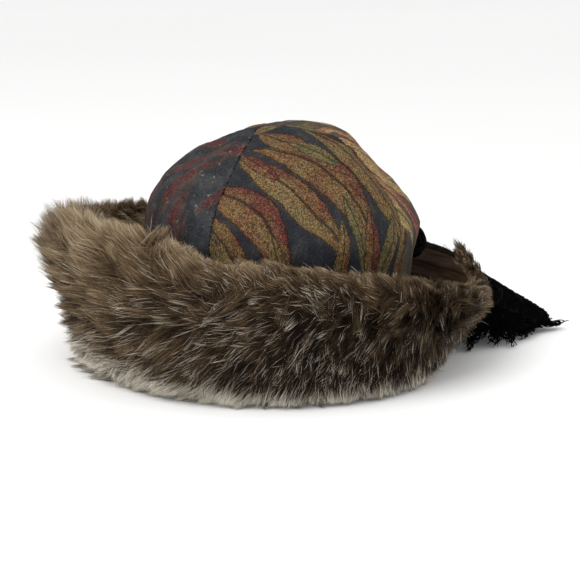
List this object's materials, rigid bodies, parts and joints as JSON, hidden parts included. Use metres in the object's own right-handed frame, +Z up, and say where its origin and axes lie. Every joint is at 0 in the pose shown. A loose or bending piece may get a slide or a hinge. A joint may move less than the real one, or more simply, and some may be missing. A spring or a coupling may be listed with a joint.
{
  "type": "fur-lined hat",
  "caption": "Soft hat with a gored brocade crown, a deep flared fur cuff turned up all round it, a satin facing inside the cuff and a fringed black cloth tie",
  "frame": {"origin": "on the surface that the hat lies on, under the middle of its bounding box", "axes": "+Z up through the crown, -Y toward the front, +X toward the side where the tie's end lies"},
  "size_m": [0.385, 0.298, 0.1755],
  "materials": {
    "brocade": "woven brocade with leaves in gold, rust and maroon on dark slate",
    "satin": "soft brown satin with a low sheen",
    "fur": "long brown fur with dark clumps and pale guard hairs",
    "black_cloth": "matt black woven cloth with a yarn fringe"
  },
  "bodies": {
    "root": {"crown_panel_front": "brocade", "crown_panel_right": "brocade", "crown_panel_back": "brocade", "crown_panel_left": "brocade", "cuff_facing": "satin", "fur_cuff": "fur", "tie_band": "black_cloth", "tie_tail": "black_cloth"}
  },
  "joints": []
}
